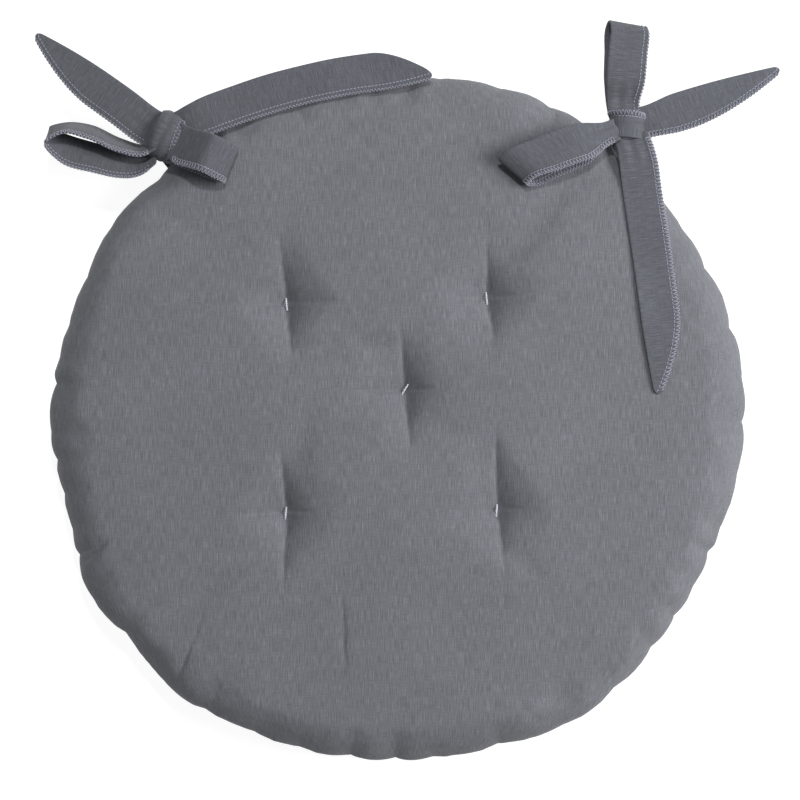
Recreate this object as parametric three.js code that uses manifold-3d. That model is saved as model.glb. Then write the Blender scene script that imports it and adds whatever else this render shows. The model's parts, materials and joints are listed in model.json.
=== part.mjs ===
// A round, tufted chair seat pad with a bow tie at each back corner.
// Two round cloth panels meet in a seam half way up the rim and close over a foam disc. Five thread
// tacks pull the panels together through the foam. Each tie is a pair of overlocked straps sewn into
// the rim seam and tied in a bow: a knot, two loops and two pointed tails.
// Millimetres, +Z up, +Y towards the back of the chair. The origin is the middle of the underside.
import * as THREE from "three";
import { mergeVertices } from "three/addons/utils/BufferGeometryUtils.js";
import Module from "manifold-3d";

const wasm = await Module();
wasm.setup();

// ---------- Driving dimensions ----------

const PAD_RADIUS = 200; // out to the rim seam
const PAD_HEIGHT = 36; // underside to the top of the cover
const SEAM_HEIGHT = 16; // rim seam above the underside
const SHOULDER = 12; // the flat top and underside stop this far short of the rim seam
const CLOTH = 0.9; // thickness of the cover's cloth
const GAP = 0.3; // left between pieces that touch
const OVERCUT = 1; // cutting solids reach this far past the surface that they cut
const WELD = 1e-4; // points closer than this are one point
const ROUND_SEGMENTS = 56; // facets round the pad
const ARC_SEGMENTS = 4; // facets down each half of the rim

const TUFTS = [
  // each tack's name, its place on the pad and the way its top stitch points, in degrees from +X
  { name: "back_left", x: -65.5, y: 68, turn: 92 },
  { name: "back_right", x: 51, y: 71.5, turn: 88 },
  { name: "centre", x: 3, y: 17.5, turn: 62 },
  { name: "front_left", x: -65.5, y: -53.5, turn: 88 },
  { name: "front_right", x: 56.5, y: -52, turn: 90 },
];
const TUFT_DEPTH_TOP = 12; // the top cover is pulled down this far at a tack
const TUFT_DEPTH_UNDER = 7; // and the underside is pulled up this far
const TUFT_RADIUS_TOP = 17; // the width of the dip at the surface
const TUFT_RADIUS_UNDER = 11;
const TUFT_FLOOR_RADIUS = 5.2; // the flat bottom of the dip, under the stitch
const TUFT_SEGMENTS = 14;
const STITCH_LENGTH = 7; // between the two holes of a tack
const THREAD_RADIUS = 0.6;
const NEEDLE_HOLE_RADIUS = 1;
const THREAD_SIDES = 6;
const STITCH_END_SEGMENTS = 2; // facets down a stitch's rounded end

const STRAP_WIDTH = 22; // fold to overlocked edge
const STRAP_THICKNESS = 1.6; // a doubled strip of cloth
const EDGE_WIDTH = 2.6; // the band of overlock thread along a strap's open edge
const EDGE_THICKNESS = 2.2;
const STRAP_CLEARANCE = 0.5; // straps that lie on the pad, above the cover
const TIP_WIDTH = 4.5; // a tail's end

const KNOT_ABOVE_FOLD = 13; // knot centre, above the fold where its tie leaves the seam
const KNOT_HALF_HEIGHT = 9;
const KNOT_HALF_LENGTH = 8.5; // along the straps that it binds
const KNOT_WAIST = 0.72; // the ends of a knot's wrap, as a share of its middle
const KNOT_BULGE_STEPS = 6;
const KNOT_SEGMENTS = 16;
const SECTOR_CLEARANCE = 1.5; // between the roots of two straps that leave a knot side by side
const SEWN_DEPTH = 9; // of a tie's sewn end, inside the seam
const SEWN_OUT = 4; // how far the sewn end stands out of the seam, to the fold where the tie bends
const FOLD_GAP = 1.2; // from that fold to the first rigid piece of the bow
const STALK_PAST_KNOT = 5; // the strap under a knot runs this far past the knot's centre

const panelStop = THREAD_RADIUS + GAP; // a panel's edge, above or below the rim seam
const sewnEndHeight = SEAM_HEIGHT + panelStop + GAP + STRAP_THICKNESS / 2; // middle of a tie's sewn end
const knotHeight = sewnEndHeight + KNOT_ABOVE_FOLD;
const restLevel = PAD_HEIGHT + STRAP_CLEARANCE + EDGE_THICKNESS / 2 - knotHeight; // straps on the pad

// `turn` is a tie's place on the rim, in degrees from the back, and `out` is its knot's distance beyond
// the rim seam. `barrel` is the way that the knot's bundle of straps runs and `radius` half the width of
// its wrap, seen from above. A strap leaves its knot the way `way` points, `root` from the knot's centre
// and `offset` to the left of it. Ways are in degrees from +X, and levels are above the knot's centre.
// Near the knot each strap keeps inside a sector of `halfSector` degrees on either side of its way.
// `edgeSide` is 1 for a strap with its overlocked edge on its left and -1 for one with it on its right.
const TIES = {
  left: {
    turn: 39.1,
    out: 13.5,
    barrel: 160,
    radius: 14.5,
    tails: {
      outer_tail: {
        way: 144, root: 13, offset: 2, level: 2, halfSector: 24, edgeSide: 1,
        length: 80, taper: 56, point: -0.7, bow: -2, droop: 5,
      },
      inner_tail: {
        way: 13.4, root: 14, offset: 3.4, level: restLevel, halfSector: 23, edgeSide: -1,
        length: 142, taper: 30, point: 0.5, bow: 7, droop: 0,
      },
    },
    loops: {
      outer_loop: {
        way: 184, root: 15, offset: 5, level: -1, halfSector: 60, edgeSide: 1,
        length: 53, height: 22, outline: "standing", lean: 66, skew: 0,
      },
      inner_loop: {
        way: -22, root: 13, offset: -3, level: restLevel, halfSector: 26, edgeSide: -1,
        length: 29, height: 12, outline: "lying", lean: 0, skew: 0,
      },
    },
  },
  right: {
    turn: -37.7,
    out: 17,
    barrel: 86,
    radius: 12,
    tails: {
      outer_tail: {
        way: 16, root: 16, offset: -1, level: 2, halfSector: 31, edgeSide: -1,
        length: 75, taper: 60, point: -0.65, bow: 0, droop: 5,
      },
      inner_tail: {
        way: -82.5, root: 13.5, offset: 2.3, level: restLevel, halfSector: 36, edgeSide: 1,
        length: 143, taper: 44, point: -0.7, bow: 1, droop: 0,
      },
    },
    loops: {
      outer_loop: {
        way: 85, root: 13, offset: 3.3, level: -3, halfSector: 34, edgeSide: -1,
        length: 43, height: 11, outline: "lying", lean: 0, skew: 0,
      },
      inner_loop: {
        way: 201, root: 16, offset: 1, level: restLevel, halfSector: 34, edgeSide: 1,
        length: 56, height: 12, outline: "lying", lean: 0, skew: 0.5,
      },
    },
  },
};

// ---------- Materials ----------

const cloth = new THREE.MeshStandardMaterial({ color: 0x74757b, roughness: 0.9, metalness: 0 });
const strapCloth = new THREE.MeshStandardMaterial({ color: 0x6a6b72, roughness: 0.88, metalness: 0 });
const overlockThread = new THREE.MeshStandardMaterial({ color: 0x9598a6, roughness: 0.7, metalness: 0 });
const tuftThread = new THREE.MeshStandardMaterial({ color: 0xd4d6de, roughness: 0.6, metalness: 0 });
const foam = new THREE.MeshStandardMaterial({ color: 0xe8e2cf, roughness: 1, metalness: 0 });

// ---------- Solids: joining and cutting ----------

function solidOf(geometry) {
  const bare = geometry.clone();
  bare.deleteAttribute("normal");
  bare.deleteAttribute("uv");
  const merged = mergeVertices(bare, WELD);
  return new wasm.Manifold(
    new wasm.Mesh({
      numProp: 3,
      vertProperties: new Float32Array(merged.attributes.position.array),
      triVerts: new Uint32Array(merged.index.array),
    }),
  );
}

function geometryOf(solid) {
  const mesh = solid.getMesh();
  const positions = new Float32Array(mesh.numVert * 3);
  for (let i = 0; i < mesh.numVert; i++) {
    for (let k = 0; k < 3; k++) positions[3 * i + k] = mesh.vertProperties[i * mesh.numProp + k];
  }
  const geometry = new THREE.BufferGeometry();
  geometry.setAttribute("position", new THREE.BufferAttribute(positions, 3));
  geometry.setIndex(new THREE.BufferAttribute(new Uint32Array(mesh.triVerts), 1));
  geometry.computeVertexNormals();
  return geometry;
}

const model = new THREE.Group();

function addPiece(name, geometry, material, parent = model) {
  const mesh = new THREE.Mesh(geometry, material);
  mesh.name = name;
  parent.add(mesh);
  return mesh;
}

// A profile of [radius, height] pairs turned about the vertical axis.
function turned(profile, segments) {
  const points = profile.map(([radius, height]) => new THREE.Vector2(radius, height));
  return new THREE.LatheGeometry(points, segments).rotateX(Math.PI / 2);
}

// ---------- The pad ----------

// Quarter ellipse from the rim seam to the flat face at faceHeight, `inset` inside the outer surface.
function rimArc(faceHeight, inset) {
  const flatRadius = PAD_RADIUS - SHOULDER;
  const across = SHOULDER - inset;
  const up = faceHeight > SEAM_HEIGHT ? faceHeight - inset - SEAM_HEIGHT : faceHeight + inset - SEAM_HEIGHT;
  const points = [];
  for (let i = 0; i <= ARC_SEGMENTS; i++) {
    const angle = (Math.PI / 2) * (i / ARC_SEGMENTS);
    points.push([flatRadius + across * Math.cos(angle), SEAM_HEIGHT + up * Math.sin(angle)]);
  }
  return points;
}

// The space inside the cover's outer surface, or inside a surface `inset` within it.
function padSpace(inset) {
  const under = rimArc(0, inset).reverse();
  const over = rimArc(PAD_HEIGHT, inset).slice(1);
  return solidOf(turned([[0, inset], ...under, ...over, [0, PAD_HEIGHT - inset]], ROUND_SEGMENTS));
}

// The dip at one tack, grown by `grow` so that it can also cut the layers below the cloth.
function dip(tuft, fromTop, grow) {
  const surface = fromTop ? PAD_HEIGHT : 0;
  const inwards = fromTop ? -1 : 1;
  const depth = fromTop ? TUFT_DEPTH_TOP : TUFT_DEPTH_UNDER;
  const mouth = fromTop ? TUFT_RADIUS_TOP : TUFT_RADIUS_UNDER;
  const slope = (mouth - TUFT_FLOOR_RADIUS) / depth;
  const side = grow * Math.hypot(1, slope);
  const profile = [
    [0, surface + inwards * (depth + grow)],
    [TUFT_FLOOR_RADIUS + side - grow * slope, surface + inwards * (depth + grow)],
    [mouth + side + OVERCUT * slope, surface - inwards * OVERCUT],
    [0, surface - inwards * OVERCUT],
  ];
  const cutter = turned(fromTop ? profile : profile.reverse(), TUFT_SEGMENTS);
  return solidOf(cutter.translate(tuft.x, tuft.y, 0));
}

// Both ends of a tack's stitch, where its thread goes down through the pad.
function needlePoints(tuft) {
  const turn = THREE.MathUtils.degToRad(tuft.turn);
  return [-0.5, 0.5].map((share) => ({
    x: tuft.x + share * STITCH_LENGTH * Math.cos(turn),
    y: tuft.y + share * STITCH_LENGTH * Math.sin(turn),
  }));
}

function uprightRod(point, radius, bottom, top) {
  const rod = new THREE.CylinderGeometry(radius, radius, top - bottom, THREAD_SIDES);
  rod.rotateX(Math.PI / 2).translate(point.x, point.y, (bottom + top) / 2);
  return solidOf(rod);
}

// padSpace with every dip taken out of it.
function tuftedSpace(inset) {
  let space = padSpace(inset);
  for (const tuft of TUFTS) {
    space = space.subtract(dip(tuft, true, inset));
    space = space.subtract(dip(tuft, false, inset));
  }
  return space;
}

function withNeedleHoles(solid) {
  for (const tuft of TUFTS) {
    for (const point of needlePoints(tuft)) {
      solid = solid.subtract(uprightRod(point, NEEDLE_HOLE_RADIUS, -OVERCUT, PAD_HEIGHT + OVERCUT));
    }
  }
  return solid;
}

// A slab between two heights, wider than the pad.
function slab(bottom, top) {
  const side = 3 * PAD_RADIUS;
  return solidOf(new THREE.BoxGeometry(side, side, top - bottom).translate(0, 0, (bottom + top) / 2));
}

const coverShell = withNeedleHoles(tuftedSpace(0).subtract(tuftedSpace(CLOTH)));

function tieDirection({ turn }) {
  const angle = THREE.MathUtils.degToRad(90 + turn);
  return new THREE.Vector3(Math.cos(angle), Math.sin(angle), 0);
}

// A tie's sewn end, grown by `grow` on every side to cut its slot in the top panel's edge.
function sewnEnd(tie, grow) {
  const out = tieDirection(tie);
  const length = SEWN_DEPTH + SEWN_OUT + 2 * grow;
  const block = new THREE.BoxGeometry(length, STRAP_WIDTH + 2 * grow, STRAP_THICKNESS + 2 * grow);
  block.translate(PAD_RADIUS + (SEWN_OUT - SEWN_DEPTH) / 2, 0, sewnEndHeight);
  return block.rotateZ(Math.atan2(out.y, out.x));
}

let topPanel = coverShell.intersect(slab(SEAM_HEIGHT + panelStop, PAD_HEIGHT + OVERCUT));
for (const tie of Object.values(TIES)) topPanel = topPanel.subtract(solidOf(sewnEnd(tie, GAP)));
addPiece("top_panel", geometryOf(topPanel), cloth);

const bottomPanel = coverShell.intersect(slab(-OVERCUT, SEAM_HEIGHT - panelStop));
addPiece("bottom_panel", geometryOf(bottomPanel), cloth);

// The thread that joins the panels, as one bead round the rim.
const rimThread = new THREE.TorusGeometry(
  PAD_RADIUS - THREAD_RADIUS,
  THREAD_RADIUS,
  THREAD_SIDES,
  ROUND_SEGMENTS,
);
addPiece("rim_seam_thread", rimThread.translate(0, 0, SEAM_HEIGHT), overlockThread);

// The foam is cut as a plain disc. The panels run free from its edge to the rim seam.
const foamRadius = PAD_RADIUS - SHOULDER;
const foamInset = CLOTH + GAP;
const foamDisc = solidOf(
  turned(
    [
      [0, foamInset],
      [foamRadius, foamInset],
      [foamRadius, PAD_HEIGHT - foamInset],
      [0, PAD_HEIGHT - foamInset],
    ],
    ROUND_SEGMENTS,
  ),
);
addPiece("foam_core", geometryOf(withNeedleHoles(foamDisc.intersect(tuftedSpace(foamInset)))), foam);

// One tack: a flat loop of thread through both panels and the foam.
for (const tuft of TUFTS) {
  const top = PAD_HEIGHT - TUFT_DEPTH_TOP + GAP + THREAD_RADIUS;
  const bottom = TUFT_DEPTH_UNDER - GAP - THREAD_RADIUS;
  const [start, end] = needlePoints(tuft);
  let loop = uprightRod(start, THREAD_RADIUS, bottom, top);
  loop = loop.add(uprightRod(end, THREAD_RADIUS, bottom, top));
  for (const height of [top, bottom]) {
    const stitch = new THREE.CapsuleGeometry(THREAD_RADIUS, STITCH_LENGTH, STITCH_END_SEGMENTS, THREAD_SIDES);
    stitch.rotateZ(Math.PI / 2).rotateZ(THREE.MathUtils.degToRad(tuft.turn));
    loop = loop.add(solidOf(stitch.translate(tuft.x, tuft.y, height)));
  }
  addPiece("tuft_thread_" + tuft.name, geometryOf(loop), tuftThread);
}

// ---------- Straps ----------

// A solid band swept through stations. Each has a middle point, a unit vector `across` from the strap's
// fold to its open edge, a unit `normal`, and how far the band reaches each way along `across`.
function band(stations, thickness) {
  const positions = [];
  for (const { point, across, normal, from, to } of stations) {
    for (const [reach, level] of [
      [from, -0.5],
      [to, -0.5],
      [to, 0.5],
      [from, 0.5],
    ]) {
      const corner = point.clone().addScaledVector(across, reach).addScaledVector(normal, level * thickness);
      positions.push(corner.x, corner.y, corner.z);
    }
  }
  const index = [0, 2, 1, 0, 3, 2];
  for (let i = 0; i + 1 < stations.length; i++) {
    for (let k = 0; k < 4; k++) {
      const here = 4 * i + k;
      const beside = 4 * i + ((k + 1) % 4);
      index.push(here, beside, beside + 4, here, beside + 4, here + 4);
    }
  }
  const last = 4 * (stations.length - 1);
  index.push(last, last + 1, last + 2, last, last + 2, last + 3);
  const geometry = new THREE.BufferGeometry();
  geometry.setAttribute("position", new THREE.BufferAttribute(new Float32Array(positions), 3));
  geometry.setIndex(index);
  return geometry;
}

// A strap and the overlock thread along its open edge. Each station also has `edge`, the reach of the
// open edge along `across`, and `fold`, the reach of the folded one.
function addStrap(name, stations, parent) {
  const strap = stations.map((s) => ({ ...s, from: s.fold, to: s.edge - EDGE_WIDTH - GAP }));
  const thread = stations.map((s) => ({ ...s, from: s.edge - EDGE_WIDTH, to: s.edge }));
  addPiece(name, band(strap, STRAP_THICKNESS), strapCloth, parent);
  addPiece(name + "_overlock", band(thread, EDGE_THICKNESS), overlockThread, parent);
}

const UP = new THREE.Vector3(0, 0, 1);
const TAIL_STEPS = 10;
const LOOP_STEPS = 18;
const STALK_STEPS = 4;
const TAPER_CURVE = 1.7; // above 1, a tail's edge curves in towards its tip

// ---------- The two ties ----------

// The widest that a strap may be `reach` from its knot's centre and stay in its own sector.
function sectorWidth(reach, halfSector) {
  return 2 * reach * Math.tan(THREE.MathUtils.degToRad(halfSector)) - SECTOR_CLEARANCE;
}

function strapWidth(reach, halfSector) {
  return Math.min(STRAP_WIDTH, sectorWidth(reach, halfSector));
}

// The way a strap leaves its knot, the way across it and the place of its root.
function strapFrame({ way, root, offset, level }) {
  const angle = THREE.MathUtils.degToRad(way);
  const direction = new THREE.Vector3(Math.cos(angle), Math.sin(angle), 0);
  const sideways = UP.clone().cross(direction);
  const start = direction.clone().multiplyScalar(root).addScaledVector(sideways, offset).setZ(level);
  return { direction, sideways, start };
}

// A tail runs flat to its point and narrows over the last `taper` millimetres. `point` is the tip's
// place across the strap, from -1 at the fold to 1 at the open edge. `bow` is how far the tail's middle
// swings out to its left, and `droop` how far its tip hangs down.
function tailStations(tail) {
  const { direction, sideways, start } = strapFrame(tail);
  const across = sideways.clone().multiplyScalar(tail.edgeSide);
  const normal = UP.clone().multiplyScalar(tail.edgeSide);
  const stations = [];
  for (let i = 0; i <= TAIL_STEPS; i++) {
    const share = i / TAIL_STEPS;
    const along = share * tail.length;
    const point = start.clone().addScaledVector(direction, along);
    point.addScaledVector(sideways, 4 * tail.bow * share * (1 - share));
    point.z -= tail.droop * share * share;
    const width = strapWidth(tail.root + along, tail.halfSector);
    const intoTaper = Math.max(0, along - (tail.length - tail.taper)) / tail.taper;
    const cut = (width - TIP_WIDTH) * intoTaper ** TAPER_CURVE;
    const fold = -width / 2 + (cut * (1 + tail.point)) / 2;
    const edge = width / 2 - (cut * (1 - tail.point)) / 2;
    stations.push({ point, across, normal, fold, edge });
  }
  return stations;
}

// A loop's outline from one root to the other, as [along, up] shares of its length and height. A lying
// loop rests on one layer and rises. A standing loop is on edge and bellies to its left, which is the
// other face of its cloth.
const LOOP_OUTLINES = {
  lying: {
    face: 1,
    shares: [
      [0, 0.36],
      [0.25, 0.86],
      [0.62, 1],
      [0.93, 0.78],
      [1, 0.42],
      [0.93, 0.1],
      [0.62, 0],
      [0.25, 0],
      [0, 0],
    ],
  },
  standing: {
    face: -1,
    shares: [
      [0, 0.1],
      [0.24, -0.02],
      [0.56, -0.4],
      [0.84, -0.5],
      [1, -0.18],
      [0.87, 0.26],
      [0.5, 0.5],
      [0.25, 0.58],
      [0, 0.46],
    ],
  },
};

// `lean` tips the strap up from flat, in degrees, and `skew` slants the fold at the loop's far end.
function loopStations(loop) {
  const { direction, sideways, start } = strapFrame(loop);
  const lean = THREE.MathUtils.degToRad(loop.lean);
  const flatWay = sideways.clone().multiplyScalar(loop.edgeSide);
  const edgeWay = flatWay.multiplyScalar(Math.cos(lean)).addScaledVector(UP, Math.sin(lean));
  const { face, shares } = LOOP_OUTLINES[loop.outline];
  const rise = direction.clone().cross(edgeWay).multiplyScalar(loop.edgeSide * face);
  const points = shares.map(([along, up]) =>
    start.clone().addScaledVector(direction, along * loop.length).addScaledVector(rise, up * loop.height),
  );
  const curve = new THREE.CatmullRomCurve3(points, false, "centripetal");
  const stations = [];
  for (let i = 0; i <= LOOP_STEPS; i++) {
    const point = curve.getPointAt(i / LOOP_STEPS);
    const tangent = curve.getTangentAt(i / LOOP_STEPS);
    const along = point.clone().sub(start).dot(direction);
    const across = edgeWay.clone().addScaledVector(direction, (-loop.skew * along) / loop.length);
    const normal = tangent.clone().cross(across).normalize();
    const width = strapWidth(loop.root + along, loop.halfSector);
    stations.push({ point, across, normal, fold: -width / 2, edge: width / 2 });
  }
  return stations;
}

function addKnot(name, { barrel, radius }, parent) {
  const outline = new THREE.Path();
  outline.moveTo(0, -KNOT_HALF_LENGTH);
  outline.lineTo(KNOT_WAIST * radius, -KNOT_HALF_LENGTH);
  outline.quadraticCurveTo((2 - KNOT_WAIST) * radius, 0, KNOT_WAIST * radius, KNOT_HALF_LENGTH);
  outline.lineTo(0, KNOT_HALF_LENGTH);
  const knot = new THREE.LatheGeometry(outline.getPoints(KNOT_BULGE_STEPS), KNOT_SEGMENTS);
  knot.scale(1, 1, KNOT_HALF_HEIGHT / radius);
  knot.rotateZ(THREE.MathUtils.degToRad(barrel - 90));
  addPiece(name, knot, strapCloth, parent);
}

// The doubled stretch of strap from the fold at the seam to just past the knot, whose underside it
// meets. It climbs from the fold and ends level.
function addStalk(name, out, foldPoint, knotCentre, parent) {
  const across = UP.clone().cross(out);
  const run = knotCentre.clone().sub(foldPoint).dot(out) + STALK_PAST_KNOT - FOLD_GAP;
  const rise = knotCentre.z - KNOT_HALF_HEIGHT - GAP - STRAP_THICKNESS - foldPoint.z;
  const stations = [];
  for (let i = 0; i <= STALK_STEPS; i++) {
    const share = i / STALK_STEPS;
    const point = foldPoint.clone().addScaledVector(out, FOLD_GAP + share * run);
    point.z += rise * Math.min(1, i / (STALK_STEPS - 1)) ** 2;
    const halfWidth = THREE.MathUtils.lerp(STRAP_WIDTH / 2, KNOT_HALF_LENGTH, share);
    stations.push({ point: point.sub(knotCentre), across, normal: UP, from: -halfWidth, to: halfWidth });
  }
  addPiece(name, band(stations, 2 * STRAP_THICKNESS), strapCloth, parent);
}

for (const [tieName, tie] of Object.entries(TIES)) {
  const out = tieDirection(tie);
  addPiece(tieName + "_tie_sewn_end", sewnEnd(tie, 0), strapCloth);

  const knotCentre = out.clone().multiplyScalar(PAD_RADIUS + tie.out).setZ(knotHeight);
  const bow = new THREE.Group();
  bow.position.copy(knotCentre);
  model.add(bow);
  addKnot(tieName + "_knot", tie, bow);
  const foldPoint = out.clone().multiplyScalar(PAD_RADIUS + SEWN_OUT).setZ(sewnEndHeight);
  addStalk(tieName + "_stalk", out, foldPoint, knotCentre, bow);

  for (const [name, tail] of Object.entries(tie.tails)) {
    addStrap(tieName + "_" + name, tailStations(tail), bow);
  }
  for (const [name, loop] of Object.entries(tie.loops)) {
    addStrap(tieName + "_" + name, loopStations(loop), bow);
  }
}

export default model;
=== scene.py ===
# %% [markdown]
# # A round tufted seat pad with two bows
# This lesson dresses a finished CAD model of a tie-on chair pad. The CAD model says where every piece
# is and how it moves. Blender makes the cloth, the thread and the light. All lengths are in metres,
# +Z is up and +Y points to the back of the chair, where the two ties are.

import json
import math
import random

import bpy
import numpy as np
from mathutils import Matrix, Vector, noise


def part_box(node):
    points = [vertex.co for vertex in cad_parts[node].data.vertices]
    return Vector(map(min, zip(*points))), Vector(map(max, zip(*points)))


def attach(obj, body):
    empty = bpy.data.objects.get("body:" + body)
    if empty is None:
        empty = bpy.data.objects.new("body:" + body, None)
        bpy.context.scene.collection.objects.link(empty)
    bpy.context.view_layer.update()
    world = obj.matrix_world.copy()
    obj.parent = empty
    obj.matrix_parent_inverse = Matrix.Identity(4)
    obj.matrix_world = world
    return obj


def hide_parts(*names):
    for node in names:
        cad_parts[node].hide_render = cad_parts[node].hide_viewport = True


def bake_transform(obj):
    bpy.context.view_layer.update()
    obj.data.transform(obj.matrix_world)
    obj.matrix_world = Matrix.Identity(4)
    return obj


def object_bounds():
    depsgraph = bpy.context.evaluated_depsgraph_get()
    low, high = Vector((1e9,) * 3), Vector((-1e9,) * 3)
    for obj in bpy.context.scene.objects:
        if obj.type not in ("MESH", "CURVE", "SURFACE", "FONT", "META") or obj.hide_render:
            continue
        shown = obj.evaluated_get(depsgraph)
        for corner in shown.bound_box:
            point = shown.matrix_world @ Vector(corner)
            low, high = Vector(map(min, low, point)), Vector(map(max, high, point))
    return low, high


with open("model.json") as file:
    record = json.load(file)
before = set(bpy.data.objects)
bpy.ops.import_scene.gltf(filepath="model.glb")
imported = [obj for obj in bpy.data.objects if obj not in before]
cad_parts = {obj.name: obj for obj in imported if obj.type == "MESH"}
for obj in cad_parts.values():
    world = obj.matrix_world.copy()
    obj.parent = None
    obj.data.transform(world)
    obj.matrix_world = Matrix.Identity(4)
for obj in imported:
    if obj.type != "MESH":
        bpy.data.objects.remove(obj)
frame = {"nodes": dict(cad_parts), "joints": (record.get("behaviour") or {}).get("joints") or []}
cad_box = [list(corner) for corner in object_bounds()]
MM = 0.001
print("CAD box in mm:", [[round(value / MM, 1) for value in corner] for corner in cad_box])

# %% [markdown]
# ## Camera
# The pad is seen from almost straight above, as a shop shows it. The camera stands a little towards
# the front, so that a thin band of the front rim shows. A long lens far away keeps the round outline
# round. The distance and the lens together set how much of the floor is in view.

# %% Place the camera
LOOK_AT = Vector((0.0006, 0.0115, cad_box[1][2] * 0.7))
CAMERA_DISTANCE = 1.3
CAMERA_ELEVATION = math.radians(86)
VIEW_WIDTH = 0.461
SENSOR_WIDTH = 0.036

camera_way = Vector((0, -math.cos(CAMERA_ELEVATION), math.sin(CAMERA_ELEVATION)))
bpy.ops.object.camera_add(location=LOOK_AT + camera_way * CAMERA_DISTANCE)
camera = bpy.context.object
camera.rotation_euler = camera_way.to_track_quat("Z", "Y").to_euler()
camera.data.sensor_width = SENSOR_WIDTH * 1000
camera.data.lens = 1000 * SENSOR_WIDTH * CAMERA_DISTANCE / VIEW_WIDTH
camera.data.dof.use_dof = False
bpy.context.scene.camera = camera
print("lens in mm:", round(camera.data.lens, 1))

# %% [markdown]
# ## Floor and light
# A pale floor and soft light keep attention on the cloth. A small lamp high behind the pad gives the
# bows their short, dark shadows. A wide lamp low on the right picks out the creases: slopes that face
# it are bright and slopes that face away are dark. A pale sky fills the shadows in.

# %% Make the floor and the lamps
FLOOR_SIZE = 14
SKY_STRENGTH = 0.24
bpy.ops.mesh.primitive_plane_add(size=FLOOR_SIZE, location=(0, 0, 0))
floor = bpy.context.object
floor.name = "floor"


def add_lamp(name, place, watts, size):
    """An area lamp at a place, aimed at the pad."""
    bpy.ops.object.light_add(type="AREA", location=place)
    lamp = bpy.context.object
    lamp.name = name
    lamp.data.energy = watts
    lamp.data.size = size
    lamp.rotation_euler = (Vector(place) - LOOK_AT).to_track_quat("Z", "Y").to_euler()


add_lamp("flash", (0.06, 0.78, 1.55), 13.2, 0.12)
add_lamp("softbox", (1.25, 0.1, 0.98), 28, 0.8)
sky = bpy.data.worlds.new("sky")
bpy.context.scene.world = sky
sky.use_nodes = True
background = sky.node_tree.nodes["Background"]
background.inputs["Color"].default_value = (1, 1, 1, 1)
background.inputs["Strength"].default_value = SKY_STRENGTH
bpy.context.scene.view_settings.view_transform = "Standard"

# %% [markdown]
# ## Node helpers
# A material is a small graph of nodes. A few helpers keep the graphs below short: they add a node and
# fill its sockets, make noise whose grains are stretched along each axis, squeeze a value into a
# range, mix two colours, start a material and give it its bump.


# %% Write the node helpers
def add_node(graph, kind, settings=(), **sockets):
    """A node of a kind, with its settings and its sockets set or linked."""
    made = graph.nodes.new("ShaderNode" + kind)
    for key, value in dict(settings).items():
        setattr(made, key, value)
    for key, value in sockets.items():
        socket = made.inputs[key.replace("_", " ")]
        if isinstance(value, bpy.types.NodeSocket):
            graph.links.new(value, socket)
        else:
            socket.default_value = value
    return made


def stretched_noise(graph, vector, scales, detail=2.0):
    """Noise with its grains stretched: each of the three scales is in grains per metre."""
    scaled = add_node(graph, "VectorMath", {"operation": "MULTIPLY"})
    graph.links.new(vector, scaled.inputs[0])
    scaled.inputs[1].default_value = scales
    made = add_node(graph, "TexNoise", Vector=scaled.outputs["Vector"], Scale=1.0, Detail=detail)
    return made.outputs["Fac"]


def remap(graph, value, low, high, new_low, new_high):
    """A value stretched from one range to another and held inside it."""
    made = add_node(graph, "MapRange", {"clamp": True})
    graph.links.new(value, made.inputs["Value"])
    for key, number in zip(("From Min", "From Max", "To Min", "To Max"), (low, high, new_low, new_high)):
        made.inputs[key].default_value = number
    return made.outputs["Result"]


def mix_colours(graph, factor, first, second, blend="MIX"):
    """Two colours mixed by a factor. Each may be a colour or a socket."""
    made = graph.nodes.new("ShaderNodeMix")
    made.data_type = "RGBA"
    made.blend_type = blend
    # the node has sockets for other kinds too: its colours are 6 and 7, and its mixed colour is output 2
    for index, value in ((0, factor), (6, first), (7, second)):
        if isinstance(value, bpy.types.NodeSocket):
            graph.links.new(value, made.inputs[index])
        else:
            made.inputs[index].default_value = value if index == 0 else (*value, 1)
    return made.outputs[2]


def new_material(name, roughness, sheen):
    """A material with a Principled shader. Returns it with its graph and its shader."""
    material = bpy.data.materials.new(name)
    material.use_nodes = True
    graph = material.node_tree
    shader = graph.nodes["Principled BSDF"]
    shader.inputs["Roughness"].default_value = roughness
    shader.inputs["Sheen Weight"].default_value = sheen
    shader.inputs["Sheen Roughness"].default_value = 0.5
    shader.inputs["Specular IOR Level"].default_value = 0.25
    return material, graph, shader


def add_bump(graph, shader, height, depth):
    """Bump from a height between 0 and 1, where 1 stands `depth` metres proud."""
    bump = add_node(graph, "Bump", Height=height, Distance=depth, Strength=1.0)
    graph.links.new(bump.outputs["Normal"], shader.inputs["Normal"])


# %% [markdown]
# ## The cloth
# The cover is a plain-weave cotton with slubs: thick places in the yarn that show as fine streaks
# along the warp, with a few pale lilac flecks. Streaks come from noise that is stretched far more
# along the yarn than across it. A second noise, turned a quarter, gives the weft. Every cloth piece
# has a UV map that holds its flat pattern in metres, so the yarns bend with the cloth. On the cover the
# warp runs from back to front. On the straps it runs across, because they were cut the other way.


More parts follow.
